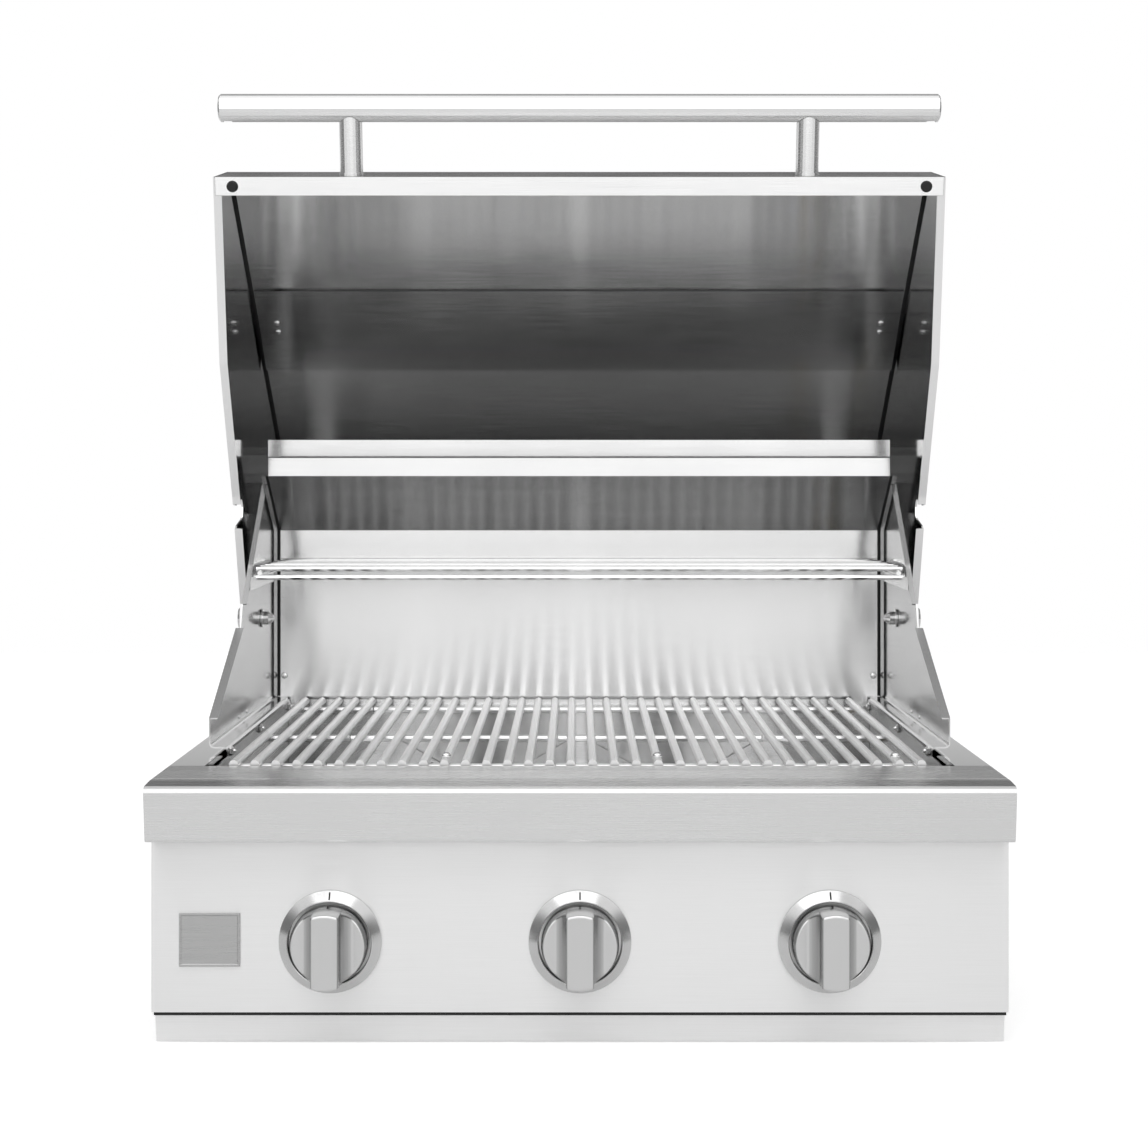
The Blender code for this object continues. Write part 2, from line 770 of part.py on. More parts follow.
def make_gas_line():
    line_y = panel_face_y + manifold_setback
    line_z = knob_z - manifold_drop
    rod("gas_manifold", (-manifold_left, line_y, line_z), (manifold_right, line_y, line_z), manifold_radius,
        brass, sides=round_sides)
    back = ledge_rear_y + supply_tail
    corners = [Vector((manifold_right + seat_gap, line_y, line_z)), Vector((supply_x, line_y, line_z)),
               Vector((supply_x, line_y + supply_drop_run, supply_z)), Vector((supply_x, back, supply_z))]
    pipe = tube("gas_supply_pipe", rounded_path(corners, supply_bend), supply_radius, brass)
    fitting = rod("supply_fitting", (supply_x, ledge_rear_y + seat_gap, supply_z),
                  (supply_x, ledge_rear_y + supply_fitting_length, supply_z), supply_fitting_radius, brass,
                  sides=6)
    join(pipe, fitting)


def make_burner(number, middle):
    """A looped tube burner: the mouth takes the valve's spud, the far bend meets the firebox back."""
    leg = burner_leg_spacing / 2
    height = knob_z
    mouth_y = front_wall_y - burner_mouth_reach
    far_y = rear_rest_y - seat_gap - burner_radius - leg
    path = [Vector((middle, mouth_y, height)), Vector((middle, front_wall_y + leg, height))]
    for step in range(1, burner_path_steps):
        share = step / burner_path_steps
        ease = share * share * (3 - 2 * share)
        path.append(Vector((middle - leg * ease, front_wall_y + leg + 2 * leg * share, height)))
    path.append(Vector((middle - leg, front_wall_y + 3 * leg, height)))
    for step in range(burner_path_steps + 1):
        turn = math.pi * step / burner_path_steps
        path.append(Vector((middle - leg * math.cos(turn), far_y + leg * math.sin(turn), height)))
    path.append(Vector((middle + leg, front_wall_y + burner_end_inset, height)))
    burner = tube(f"burner_{number}", path, burner_radius, liner_steel)
    mouth = rod("burner_mouth", (middle, mouth_y - overrun, height),
                (middle, mouth_y + burner_mouth_depth, height), burner_mouth_radius, liner_steel)
    cut(burner, mouth)


def make_flame_tamer(number, middle):
    ridge_z = tamer_eave_z + tamer_height
    path = [(middle + tamer_half, tamer_eave_z), (middle + tamer_ridge_half, ridge_z),
            (middle - tamer_ridge_half, ridge_z), (middle - tamer_half, tamer_eave_z)]
    low, high = front_wall_y + tamer_end_gap, rear_rest_y - tamer_end_gap
    plate = sheet(f"flame_tamer_{number}", path, low, high, body_sheet, liner_steel, along="Y")
    slots = []
    pitch = (high - low) / tamer_slot_count
    for side in (-1, 1):
        slot_x = middle + side * (tamer_half + tamer_ridge_half) / 2
        for count in range(tamer_slot_count):
            slot_y = low + (count + 1 / 2) * pitch
            low_corner = (slot_x - tamer_slot_width / 2, slot_y - tamer_slot_length / 2, tamer_eave_z)
            high_corner = (slot_x + tamer_slot_width / 2, slot_y + tamer_slot_length / 2, ridge_z)
            slots.append(block("tamer_slot", low_corner, high_corner, liner_steel))
    cut(plate, merged("tamer_slots", slots, liner_steel))


def make_tamer_rails():
    """Angle rails across the firebox that the plates' eaves rest on."""
    top = tamer_eave_z - body_sheet - seat_gap
    half = liner_half - seat_gap
    front = front_wall_y + seat_gap
    front_path = [(front, top - rail_height), (front, top), (front + rail_width, top)]
    sheet("tamer_rail_front", front_path, -half, half, -body_sheet, liner_steel)
    back = rear_rest_y - seat_gap
    back_path = [(back, top - rail_height), (back, top), (back - rail_width, top)]
    sheet("tamer_rail_rear", back_path, -half, half, body_sheet, liner_steel)


def bar_place(number):
    """X of a bar, counted from the left over all the grates; the bars stand closer in the left half."""
    steps = number - left_bar_steps
    return steps * (left_bar_pitch if steps < 0 else right_bar_pitch) - middle_bar_shift


def make_grate(section):
    """Round bars welded on three cross rods, which at some ends reach towards the next grate."""
    first_bar = sum(grate_bar_counts[:section])
    last_bar = first_bar + grate_bar_counts[section] - 1
    height = rest_z + seat_gap + bar_radius
    low, high = lip_y + bar_end_gap, back_wall_y - bar_end_gap - liner_sheet
    bars = []
    for number in range(first_bar, last_bar + 1):
        bar_x = bar_place(number)
        bars.append(rod("bar", (bar_x, low, height), (bar_x, high, height), bar_radius, rod_steel,
                        sides=bar_sides))
    cross_z = height - bar_radius - cross_radius + cross_overlap
    left_share, right_share = rod_overhang_shares[section]
    start = bar_place(first_bar) - bar_radius - left_share * rod_overhang
    end = bar_place(last_bar) + bar_radius + right_share * rod_overhang
    places = (low + cross_front_inset, low + (high - low) * cross_middle_share, high - cross_rear_inset)
    crossings = [rod("cross_rod", (start, y, cross_z), (end, y, cross_z), cross_radius, rod_steel,
                     sides=bar_sides)
                 for y in places]
    join(merged(f"grate_{section + 1}", bars, rod_steel), merged("cross_rods", crossings, rod_steel))


def make_warming_rack():
    """Round rods across the chamber on two side rods, with a second rod under the front edge."""
    front = back_wall_y - rack_rear_gap - rack_depth
    top = strip_z + rack_rise
    side_z = top - 2 * rack_rod_radius + rack_sink
    rods = []
    for count in range(rack_rod_count):
        y = front + count * rack_depth / (rack_rod_count - 1)
        rods.append(rod("rack_rod", (-rack_half, y, top), (rack_half, y, top), rack_rod_radius, rod_steel,
                        sides=bar_sides))
    low_z = side_z - 2 * rack_rod_radius + rack_sink
    rods.append(rod("rack_front_rod", (-rack_half, front, low_z), (rack_half, front, low_z), rack_rod_radius,
                    rod_steel, sides=bar_sides))
    rack_side = rack_half - rack_side_inset
    sides = [rod("rack_side", (side * rack_side, front - rack_rod_radius, side_z),
                 (side * rack_side, front + rack_depth + rack_rod_radius, side_z), rack_rod_radius, rod_steel,
                 sides=bar_sides) for side in (-1, 1)]
    join(merged("warming_rack", rods, rod_steel), merged("rack_sides", sides, rod_steel))
    for side, name in ((-1, "rack_rest_left"), (1, "rack_rest_right")):
        shelf = side_z - rack_rod_radius - seat_gap
        wall = cheek_half - seat_gap
        path = [(side * (wall - rack_rest_width), shelf), (side * wall, shelf),
                (side * wall, shelf - rack_rest_height)]
        sheet(name, path, front + rack_rest_inset, front + rack_depth, -side * liner_sheet, liner_steel,
              along="Y")


def make_drip_tray():
    """Shallow pan pulled out at the front; its front strip is wider than the pan and leans with it."""
    floor = base_top_z + tray_floor_gap
    face = panel_face_y + tray_front_setback
    front = face + body_sheet
    back = ledge_rear_y - tray_rear_gap
    lean_at_floor = tray_front_lean * (tray_front_height - floor) / tray_front_height
    lean_at_rim = tray_front_lean * (tray_front_height - floor - tray_height) / tray_front_height
    outline = [(front + lean_at_floor, floor), (front + lean_at_rim, floor + tray_height),
               (back, floor + tray_height), (back, floor)]
    tray = pan("drip_tray", outline, -tray_half, tray_half, body_sheet, [1], brushed_steel)
    overlap = body_sheet / 2
    strip = prism("tray_front", [(face + tray_front_lean, tray_front_foot), (face, tray_front_height),
                                 (front + overlap, tray_front_height),
                                 (front + tray_front_lean + overlap, tray_front_foot)],
                  -tray_front_half, tray_front_half, brushed_steel)
    join(tray, strip)


def hood_path():
    """Outer face of the hood, shut, from the rear edge over the top and down to the front fold."""
    corners = [(hood_rear_y, hood_rear_z), (hood_crown_y, hood_top_z, hood_crown_radius),
               (hood_brow_y, hood_top_z, hood_brow_radius), (hood_front_y, hood_crease_z, hood_crease_radius),
               (hood_front_y, hood_foot_z)]
    return filleted(corners, steps=6)


def make_hood_skin(hinge):
    outer = hood_path()
    path = [Vector((hood_rear_y - hood_rear_fold, hood_rear_z))] + outer
    path.append(Vector((hood_front_y + hood_front_fold, hood_foot_z)))
    skin = sheet("hood_skin", path, -hood_inner_half, hood_inner_half, body_sheet, brushed_steel)
    holes = []
    for side in (-1, 1):
        x, y = side * (hood_half - bumper_inset), hood_front_y + bumper_back
        holes.append(rod("bumper_hole", (x, y, hood_foot_z - overrun), (x, y, hood_foot_z + overrun),
                         bumper_stem_radius + seat_gap, black_rubber))
    cut(smooth(skin, math.radians(20)), merged("bumper_holes", holes, black_rubber))
    hang(skin, hinge, (0, hinge_y, hinge_z))


def make_hood_side(side, name, hinge):
    """Flat end of the hood, its lower edge folded in, with a slot for a spit and an ear on the hinge bolt."""
    flat_end = hood_front_y + side_flat_run
    rise_end = (flat_end + side_rise_run, hood_foot_z + side_rise)
    tail_end = (rise_end[0] + side_tail_run, rise_end[1] + side_tail_rise)
    outline = [tuple(point) for point in reversed(hood_path())]
    outline += arc((hinge_y, hinge_z), hinge_ear_radius, *hinge_ear_degrees, hinge_ear_steps)
    fold_start = len(outline)
    outline += [tail_end, rise_end, (flat_end, hood_foot_z),
                (hood_front_y + hood_front_fold + seat_gap, hood_foot_z)]
    runs = [(fold_start, fold_start + 3, hood_side_fold)]
    plane = side * hood_half
    plate = folded_plate(name, outline, plane, runs, body_sheet, brushed_steel)
    hole = rod("side_hole", (plane - side * overrun, hinge_y, hinge_z),
               (plane + side * overrun, hinge_y, hinge_z), bolt_shoulder_radius + seat_gap, brushed_steel)
    slot = spit_slot_points(rise_end)
    inner, outer = side * (hood_half - hood_side_fold - overrun), side * (hood_half + overrun)
    opening = prism("spit_slot", slot, min(inner, outer), max(inner, outer), brushed_steel)
    hang(cut(plate, hole, opening), hinge, (0, hinge_y, hinge_z))


def spit_slot_points(rise_end):
    """A slot that narrows from its mouth on the lower edge to a round end."""
    middle = rise_end[0] + spit_slot_back
    mouth_z = rise_end[1] - side_rise / 2
    end_z = rise_end[1] + spit_slot_depth - spit_slot_width / 2
    shoulder_z = rise_end[1] + spit_slot_depth / 4
    top = arc((middle, end_z), spit_slot_width / 2, 0, 180, 6)
    left = [(middle - spit_slot_width / 2, shoulder_z), (middle - spit_slot_mouth / 2, mouth_z)]
    right = [(middle + spit_slot_mouth / 2, mouth_z), (middle + spit_slot_width / 2, shoulder_z)]
    return right + top + left


def make_heat_shield(hinge):
    """Shallow pressed plate under the hood's slope; its two edges meet the skin."""
    crease = Vector((hood_front_y, hood_crease_z))
    along = Vector((hood_slope_run, hood_slope_rise)).normalized()
    inward = Vector((along.y, -along.x))
    near = crease + along * shield_start
    far = near + along * shield_length
    seat = body_sheet + seat_gap
    path = [near + inward * seat, near + inward * shield_near_drop, far + inward * shield_far_drop,
            far + inward * seat]
    half = hood_inner_half - shield_side_gap
    shield = sheet("hood_heat_shield", path, -half, half, liner_sheet, liner_steel)
    hang(shield, hinge, (0, hinge_y, hinge_z))


def make_handle(hinge):
    tube_y = hood_front_y - handle_standoff
    tube_z = hood_foot_z + handle_rise
    half = handle_length / 2
    profile = [(0, -half), (handle_radius - handle_chamfer, -half), (handle_radius, handle_chamfer - half),
               (handle_radius, half - handle_chamfer), (handle_radius - handle_chamfer, half), (0, half)]
    bar = turned("handle_tube", profile, polished_steel)
    bar.data.transform(Matrix.Translation((0, tube_y, tube_z)) @ Matrix.Rotation(math.pi / 2, 4, "Y"))
    drains = []
    for side in (-1, 1):
        near, far = side * (half - drain_inset), side * (half - drain_inset - drain_length)
        under = tube_y + handle_radius
        drains.append(block("drain", (min(near, far), under - drain_depth, tube_z - drain_width / 2),
                            (max(near, far), under + drain_depth, tube_z + drain_width / 2), polished_steel))
    hang(cut(bar, merged("drains", drains, polished_steel)), hinge, (0, hinge_y, hinge_z))
    for side, name in ((-1, "handle_post_left"), (1, "handle_post_right")):
        post_x = side * post_spacing / 2
        foot = (post_x, hood_front_y - seat_gap, tube_z)
        post = rod(name, foot, (post_x, tube_y, tube_z), post_radius, polished_steel, sides=round_sides)
        ring = rod("post_foot", foot, (post_x, hood_front_y - post_foot_height, tube_z), post_foot_radius,
                   polished_steel, sides=round_sides)
        seat = rod("post_seat", (post_x - post_spacing / 2, tube_y, tube_z),
                   (post_x + post_spacing / 2, tube_y, tube_z), handle_radius + seat_gap, polished_steel,
                   sides=round_sides)
        hang(cut(join(post, ring), seat), hinge, (0, hinge_y, hinge_z))


def make_bumpers(hinge):
    """Rubber bumpers pressed through the hood's front fold; they meet the ledge when the hood is shut."""
    for side, name in ((-1, "bumper_left"), (1, "bumper_right")):
        centre = Vector((side * (hood_half - bumper_inset), hood_front_y + bumper_back, hood_foot_z))
        depth = hood_foot_gap - seat_gap
        profile = [(0, -depth), (bumper_radius * 3 / 4, -depth), (bumper_radius, -depth / 2),
                   (bumper_radius, -seat_gap), (bumper_stem_radius, -seat_gap),
                   (bumper_stem_radius, body_sheet + seat_gap), (0, body_sheet + seat_gap)]
        bumper = turned(name, profile, black_rubber, sides=small_sides)
        bumper.data.transform(Matrix.Translation(centre))
        hang(bumper, hinge, (0, hinge_y, hinge_z))


def make_hinge_bolt(side, bolt_name, nut_name):
    """Shoulder bolt through the hood's side and the cheek, with a washer and acorn nut inside the chamber."""
    inner_face = cheek_half
    cheek_outer = cheek_half + liner_sheet
    under_head = hood_half + seat_gap
    bolt = [(0, inner_face - bolt_end), (bolt_radius, inner_face - bolt_end),
            (bolt_radius, cheek_outer + seat_gap), (bolt_shoulder_radius, cheek_outer + seat_gap),
            (bolt_shoulder_radius, under_head),
            (bolt_head_radius, under_head), (bolt_head_radius, under_head + bolt_head_height / 2),
            (bolt_head_radius * 3 / 4, under_head + bolt_head_height), (0, under_head + bolt_head_height)]
    nut_face = inner_face - seat_gap
    nut_end = nut_face - washer_thickness - nut_height
    nut = [(0, nut_end), (nut_flats / 2, nut_end + nut_height / 8), (nut_flats, nut_end + nut_height / 2),
           (nut_flats, nut_face - washer_thickness), (washer_radius, nut_face - washer_thickness),
           (washer_radius, nut_face), (bolt_radius + seat_gap, nut_face),
           (bolt_radius + seat_gap, nut_face - nut_bore_depth), (0, nut_face - nut_bore_depth)]
    for name, profile in ((bolt_name, bolt), (nut_name, nut)):
        piece = turned(name, profile, polished_steel, sides=small_sides)
        turn = Matrix.Rotation(side * math.pi / 2, 4, "Y")
        piece.data.transform(Matrix.Translation((0, hinge_y, hinge_z)) @ turn)


def make_body():
    make_base()
    make_rear_panel()
    make_front_bulkhead()
    make_back_liner()
    make_bullnose()
    make_control_panel()
    for side, word in ((-1, "left"), (1, "right")):
        make_side_panel(side, f"side_panel_{word}")
        make_firebox_side(side, f"firebox_side_{word}")
        make_hinge_bolt(side, f"hinge_bolt_{word}", f"hinge_nut_{word}")


def make_fire():
    make_gas_line()
    make_tamer_rails()
    for number, middle in knob_places():
        axis = empty(f"knob_axis_{number}", (middle, panel_face_y, knob_z), (math.pi / 2, 0, 0))
        make_knob(number, axis)
        make_valve(number, axis)
        make_burner(number, middle)
        make_flame_tamer(number, middle)
    for section in range(len(grate_bar_counts)):
        make_grate(section)
    make_warming_rack()
    make_drip_tray()


def make_hood():
    hinge = empty("hood_hinge", (0, hinge_y, hinge_z), (-open_angle, 0, 0))
    make_hood_skin(hinge)
    make_hood_side(-1, "hood_side_left", hinge)
    make_hood_side(1, "hood_side_right", hinge)
    make_heat_shield(hinge)
    make_handle(hinge)
    make_bumpers(hinge)


make_body()
make_fire()
make_hood()
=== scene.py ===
"""Looks of a built-in gas grill with its hood open: metals, small fittings, floor, light and camera."""
import math

import bmesh
import bpy
from mathutils import Matrix, Vector


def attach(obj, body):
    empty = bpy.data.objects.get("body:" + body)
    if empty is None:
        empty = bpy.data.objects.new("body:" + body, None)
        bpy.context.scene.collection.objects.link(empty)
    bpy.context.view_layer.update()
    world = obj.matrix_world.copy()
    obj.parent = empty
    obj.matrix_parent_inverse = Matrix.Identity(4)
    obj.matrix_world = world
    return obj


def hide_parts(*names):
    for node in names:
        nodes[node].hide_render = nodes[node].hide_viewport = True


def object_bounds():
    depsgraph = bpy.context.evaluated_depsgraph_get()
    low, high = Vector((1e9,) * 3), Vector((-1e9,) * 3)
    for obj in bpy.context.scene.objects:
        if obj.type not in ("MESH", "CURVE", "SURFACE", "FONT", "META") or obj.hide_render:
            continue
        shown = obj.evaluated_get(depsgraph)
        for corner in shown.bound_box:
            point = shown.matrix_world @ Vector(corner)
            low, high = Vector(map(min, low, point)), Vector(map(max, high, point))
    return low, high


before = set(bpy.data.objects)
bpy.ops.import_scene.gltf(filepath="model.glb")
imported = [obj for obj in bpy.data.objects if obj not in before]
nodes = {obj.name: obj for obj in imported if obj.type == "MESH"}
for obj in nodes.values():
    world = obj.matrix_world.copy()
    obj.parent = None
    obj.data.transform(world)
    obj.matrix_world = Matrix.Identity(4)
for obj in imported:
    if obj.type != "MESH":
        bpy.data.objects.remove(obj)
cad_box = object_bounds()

sides = ((-1, "left"), (1, "right"))

# Picture and camera
picture_width_px = 1148
picture_height_px = 1134
focal_px = 2036
principal_px = (575.6, 464)
sensor_width = 36
camera_place = (-0.0034, -1.827, 0.448)

# Floor and backdrop
floor_half = 3.0
floor_drop = 0.0006
floor_grey = 0.86
floor_roughness = 0.9
floor_glow = 0.5
camera_white = 1.0
world_fill = 0.8
flank_reach = (0.75, 0.97)
flank_share = 0.2
rear_reach = (0.3, 0.7)
rear_rise = (0.08, 0.2)
rear_share = 0.12

# Lamps: place, the point each looks at, width and height, power in watts
lamps = {
    "key lamp": ((-0.2, -1.3, 2.4), (0, 0, 0.3), (2.8, 1.6), 17),
    "fill lamp": ((0, -3.2, 0.85), (0, 0, 0.45), (2.6, 0.9), 6),
}

# Hood profile as drawn shut, and the swing that opens it
hinge_place = (0, 0.163, 0.2975)
open_angle = math.radians(78.5)
hood_half = 0.327
hood_sheet = 0.0015
hood_corners = ((0.272, 0.462), (0.262, 0.568, 0.070), (0.06, 0.568, 0.100), (-0.27, 0.29, 0.010),
                (-0.27, 0.2084))
fillet_steps = 8
# Black strips that paint the shade in the hood's inner corners: width, and rise off the sheet
corner_shade_width = 0.0023
corner_shade_rise = 0.0003

# Round heads: radius and height, and the share of the height that stands straight
screw_head = (0.0034, 0.0019)
rivet_head = (0.0021, 0.0012)
wall_nut = (0.0042, 0.0034)
wall_stud = (0.002, 0.0058)
bar_dome = (0.004, 0.004)
head_foot_share = 0.25
bolt_foot_share = 0.5
nut_sides = 6
dome_steps = 5

# Places of the heads: y and z where both sides have one, grate number and x for the dots on bars
shield_screws = ((0.2229, 0.59), (0.232, 0.5815))
shield_screw_half = 0.304
shield_normal = (0, -0.68, -0.733)
wall_bolts = ((-0.105, 0.2055), (0.053, 0.2042), (0.239, 0.2021))
wall_half = 0.2955
liner_screw_half = 0.3015
liner_screw = (0.2575, 0.2316)
cheek_rivets = ((0.032, 0.2174), (0.075, 0.2172))
cheek_half = 0.3105
domed_bars = ((2, -0.1092), (3, 0.0634), (4, 0.2578))
dome_y = -0.162
dome_z = 0.2085

# Painted shade strips and flanges beside the back liner, painted shade strip over the drip tray, ledges and
# ridge
liner_gap_shade_reach = (0.3057, 0.3074)
liner_gap_flange_reach = (0.3074, 0.3107)
liner_gap_sheet = 0.0012
liner_gap_flange_lean = 0.012
liner_gap_path = ((0.258, 0.2105), (0.258, 0.3805), (0.1736, 0.4362))
# Black strip over the drip tray that paints the shade of the gap under the panel
tray_gap_shade_half = 0.3283
tray_gap_shade_y = (-0.2592, -0.2574)
tray_gap_shade_z = (0.0235, 0.0259)
ledge_x = (0.2972, 0.3013)
ledge_y = (-0.1785, -0.133)
ledge_z = (0.2042, 0.2052)
ridge_half = 0.3292
ridge_path = ((-0.2597, 0.2054), (-0.2591, 0.2057), (-0.2585, 0.2054), (-0.2591, 0.205))

# Badge plate
badge_middle = (-0.285, 0.082)
badge_size = (0.047, 0.041)
badge_thickness = 0.0018
badge_border = 0.0022
badge_sink = 0.0005
badge_bevel_steps = 3

# Bezels, drawn round an axis that comes out of the panel, and pointer lines
knob_x = (-0.192, 0.0, 0.192)
knob_z = 0.081
panel_face_y = -0.26
bezel_bore = 0.0318
bezel_lip = (0.0326, 0.0098)
bezel_rim = (0.0391, 0.004)
bezel_radius = 0.0395
bezel_foot = 0.0003
bezel_round = 0.0006
bezel_ease_share = 1 / 3
tick_width = 0.0011
tick_depth = 0.0006
bezel_tick_shares = (0.15, 0.85)
knob_tick_reach = (0.0152, 0.0205)
knob_tick_rise = 0.0295

# Knobs, drawn along the same axis
knob_base = 0.005
knob_shoulder = 0.0145
knob_radius = 0.0298
knob_nose_radius = 0.0285
knob_height = 0.042
knob_edge = 0.0012
knob_floor = 0.020
knob_floor_slope = 0.12
grip_half = 0.0105
grip_bevel = 0.0016
grip_wall = 0.0002
flute_radius = 0.0085
flute_lift_share = 0.75
flute_power = 1.5
knob_rows = 14
knob_columns = 16
bevel_stride = 4
flute_stride = 2

# Meshing
crisp_angle = math.radians(38)
round_steps = 96
round_segments = 24
merge_gap = 0.00001

# Metal grain
noise_reach = (0.3, 0.7)
grain_scale = 1500
grain_detail = 2
grain_long_share = 0.012
grain_relief = 0.0001
grain_turn = 0.25
cloud_scale = 9
cloud_detail = 4
cloud_roughness = 0.02
roughness_spread_share = 0.15
rubber_specular = 0.15

# Painted shade: faces whose normal stays under the limit along the axis fade over the two heights to one
# share of the colour, and all other faces keep the other share
# painted shade: the hood's front-facing inside darker below 0.61 m, all its other faces at 0.6 of the tone
hood_painted_shade = {"axis": "Y", "limit": -0.3, "heights": (0.61, 0.55), "faded_share": 0.56, "other_share": 0.6}
# painted shade: all faces of the side plates but the front-facing ones at 0.65 of the tone
end_plate_painted_shade = {"axis": "Y", "limit": -0.3, "heights": (0.61, 0.55), "faded_share": 1, "other_share": 0.65}
# painted shade: front-facing faces of the heat shield above 0.62 m nearly black
shield_lip_painted_shade = {"axis": "Y", "limit": -0.3, "heights": (0.6188, 0.6197), "faded_share": 0.1, "other_share": 1}
# painted shade: downward-facing faces of the back liner and its neighbours above 0.38 m at 0.6 of the tone
liner_underside_painted_shade = {"axis": "Z", "limit": -0.3, "heights": (0.37, 0.38), "faded_share": 0.6, "other_share": 1}
# painted shade: the grate bars' front end faces at 0.72 of the tone
rod_end_painted_shade = {"axis": "Y", "limit": -0.95, "heights": (0.61, 0.55), "faded_share": 0.72, "other_share": 1}
# painted shade: knob flute slopes darker as they turn sideways, down to 0.55 of the tone
knob_flute_painted_shade = {"normals": (0.25, 0.7), "faded_share": 0.55}

# Finishes, with the axis that each is brushed along
finishes = {
    "panel steel": dict(tone=0.82, roughness=0.4, grain="X"),
    "nose steel": dict(tone=0.79, roughness=0.26, grain="X", anisotropy=0.5, relief=0.004, contrast=0.015),
    "tray steel": dict(tone=0.99, roughness=0.42, grain="X", relief=0.01),
    "hood steel": dict(tone=0.93, roughness=0.19, grain="X", anisotropy=1, relief=0.01, painted_shade=hood_painted_shade),
    "side plate steel": dict(tone=0.95, roughness=0.09, grain="Y", anisotropy=0.5, relief=0.01,
                             painted_shade=end_plate_painted_shade),
    "cheek steel": dict(tone=0.52, roughness=0.16, grain="Y", anisotropy=0.8, relief=0.01),
    "liner steel": dict(tone=0.76, roughness=0.2, grain="X", anisotropy=1, relief=0.01, painted_shade=liner_underside_painted_shade),
    "shield steel": dict(tone=0.43, roughness=0.2, grain="X", anisotropy=1, relief=0.01, painted_shade=shield_lip_painted_shade),
    "plate steel": dict(tone=0.88, roughness=0.3, grain="X"),
    "rod steel": dict(tone=0.99, roughness=0.38, grain="Y", anisotropy=0, relief=0.002, contrast=0.01,
                      painted_shade=rod_end_painted_shade),
    "rack steel": dict(tone=0.85, roughness=0.12, grain="X", anisotropy=0, relief=0.002, contrast=0.01),
    "polished steel": dict(tone=0.78, roughness=0.14, grain="X", anisotropy=0.3),
    "handle steel": dict(tone=0.88, roughness=0.26, grain="X", anisotropy=0, relief=0.004, contrast=0.01),
    "knob metal": dict(tone=0.7, roughness=0.22, grain="Z", anisotropy=0, flute_painted_shade=knob_flute_painted_shade),
    "bezel metal": dict(tone=0.68, roughness=0.2, grain="X", anisotropy=0),
    "badge metal": dict(tone=0.46, roughness=0.3, grain="X", relief=0.01),
    "brass": dict(tone=0.72, roughness=0.3, grain="Y", anisotropy=0, colour=(1, 0.78, 0.36)),
    # black for the rubber bumpers and the pointer lines, and for the strips that paint shade in gaps and
    # corners
    "rubber_and_painted_shade": dict(tone=0.03, roughness=0.7, grain="Y", anisotropy=0),
}

# Solids by how their names start; all others are panel steel
worn_by = {
    "nose steel": ("bullnose",),
    "tray steel": ("drip_tray",),
    "hood steel": ("hood_skin",),
    "side plate steel": ("hood_side", "side_panel"),
    "cheek steel": ("firebox_side",),
    "liner steel": ("back_liner", "rear_panel", "front_bulkhead", "base_pan"),
    "shield steel": ("hood_heat_shield",),
    "plate steel": ("flame_tamer", "burner", "tamer_rail"),
    "rod steel": ("grate",),
    "rack steel": ("warming_rack", "rack_rest"),
    "polished steel": ("hinge", "knob_bezel"),
    "handle steel": ("handle",),
    "knob metal": ("knob_1", "knob_2", "knob_3"),
    "brass": ("valve", "gas"),
    "rubber_and_painted_shade": ("bumper",),
}


def new_material(name):
    material = bpy.data.materials.new(name)
    material.use_nodes = True
    return material, material.node_tree.nodes, material.node_tree.links


def worked(tree_nodes, links, operation, first, second=None):
    """One sum on a value, or on two."""
    node = tree_nodes.new("ShaderNodeMath")
    node.operation = operation
    links.new(first, node.inputs[0])
    if second is not None:
        links.new(second, node.inputs[1])
    return node.outputs["Value"]


def ranged(tree_nodes, links, value, reach, low=0, high=1, fade="LINEAR"):
    """Maps the reach of a value to the range low to high, and holds it at both ends."""
    node = tree_nodes.new("ShaderNodeMapRange")
    node.interpolation_type = fade
    node.inputs["From Min"].default_value, node.inputs["From Max"].default_value = reach
    node.inputs["To Min"].default_value = low
    node.inputs["To Max"].default_value = high
    links.new(value, node.inputs["Value"])
    return node.outputs["Result"]


def split_up(tree_nodes, links, kind):
    """The X, Y and Z of one of the texture coordinates."""
    place = tree_nodes.new("ShaderNodeTexCoord")
    split = tree_nodes.new("ShaderNodeSeparateXYZ")
    links.new(place.outputs[kind], split.inputs["Vector"])
    return split.outputs


def scaled(tree_nodes, links, colour, share):
    """A colour at a share of its strength."""
    node = tree_nodes.new("ShaderNodeVectorMath")
    node.operation = "SCALE"
    links.new(colour, node.inputs[0])
    links.new(share, node.inputs["Scale"])
    return node.outputs["Vector"]


def noise(tree_nodes, links, stretch, scale, detail):
    """Noise in the part's own metres; stretch multiplies each axis, so a small number draws it out."""
    place = tree_nodes.new("ShaderNodeTexCoord")
    mapping = tree_nodes.new("ShaderNodeMapping")
    mapping.inputs["Scale"].default_value = stretch
    texture = tree_nodes.new("ShaderNodeTexNoise")
    texture.inputs["Scale"].default_value = scale
    texture.inputs["Detail"].default_value = detail
    links.new(place.outputs["Object"], mapping.inputs["Vector"])
    links.new(mapping.outputs["Vector"], texture.inputs["Vector"])
    return texture.outputs["Fac"]


def paint_shade_by_facing(tree_nodes, links, colour, axis, limit, heights, faded_share, other_share):
    """Paints shade on a part by which way its faces look, and by height."""
    place = split_up(tree_nodes, links, "Object")
    facing = split_up(tree_nodes, links, "Normal")
    faded = ranged(tree_nodes, links, place["Z"], heights, 1, faded_share)
    other = tree_nodes.new("ShaderNodeMath")
    other.operation = "GREATER_THAN"
    other.inputs[1].default_value = limit
    links.new(facing[axis], other.inputs[0])
    share = tree_nodes.new("ShaderNodeMapRange")
    share.inputs["To Max"].default_value = other_share
    links.new(other.outputs["Value"], share.inputs["Value"])
    links.new(faded, share.inputs["To Min"])
    return scaled(tree_nodes, links, colour, share.outputs["Result"])


